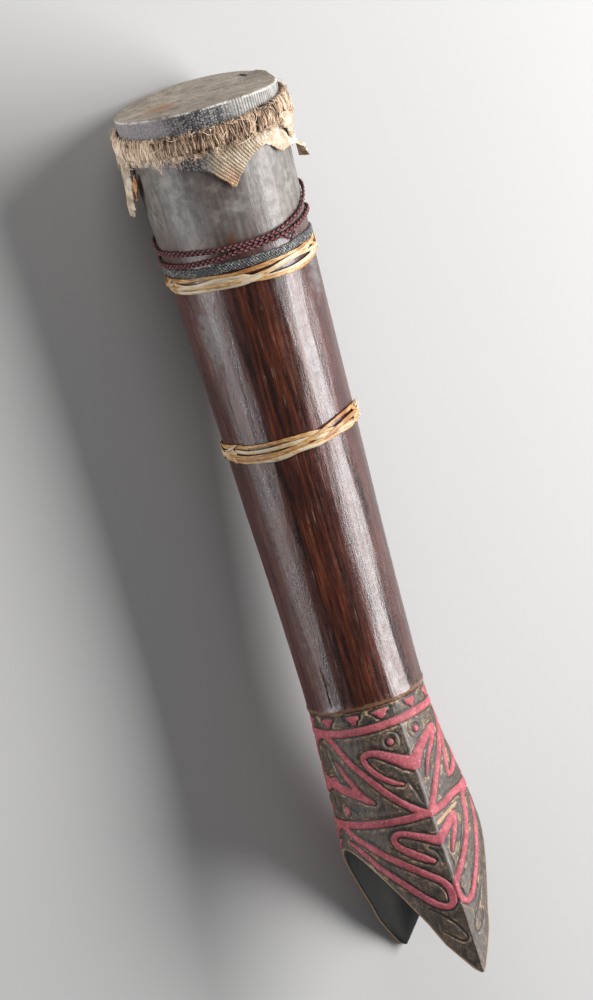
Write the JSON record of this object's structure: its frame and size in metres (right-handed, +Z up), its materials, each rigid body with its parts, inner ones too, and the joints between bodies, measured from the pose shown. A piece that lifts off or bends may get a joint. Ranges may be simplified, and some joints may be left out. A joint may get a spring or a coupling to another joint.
{
  "type": "kundu drum",
  "caption": "Hollow one-piece wooden hand drum with a skin head, bound with fibre and cane, its carved and painted foot opening into two pointed jaws.",
  "frame": {"origin": "centre of the footprint of the drum as it lies on its back", "axes": "+Y runs from the jaws to the playing head, +Z is up, the keel of the upper jaw is on top"},
  "size_m": [0.1662, 0.834, 0.1957],
  "materials": {
    "wood": "dark reddish wood, hand rubbed, with pink painted carving at the foot",
    "hide": "dry lizard skin",
    "fibre": "matt plant fibre",
    "red_yarn": "braided yarn",
    "grey_weave": "flat woven band, dusty",
    "cane": "split cane with a light sheen"
  },
  "bodies": {
    "root": {"drum_body": "wood", "drumhead": "hide", "fibre_ring": "fibre", "red_cord": "red_yarn", "grey_band": "grey_weave", "upper_cane_band": "cane", "middle_cane_band": "cane"}
  },
  "joints": []
}
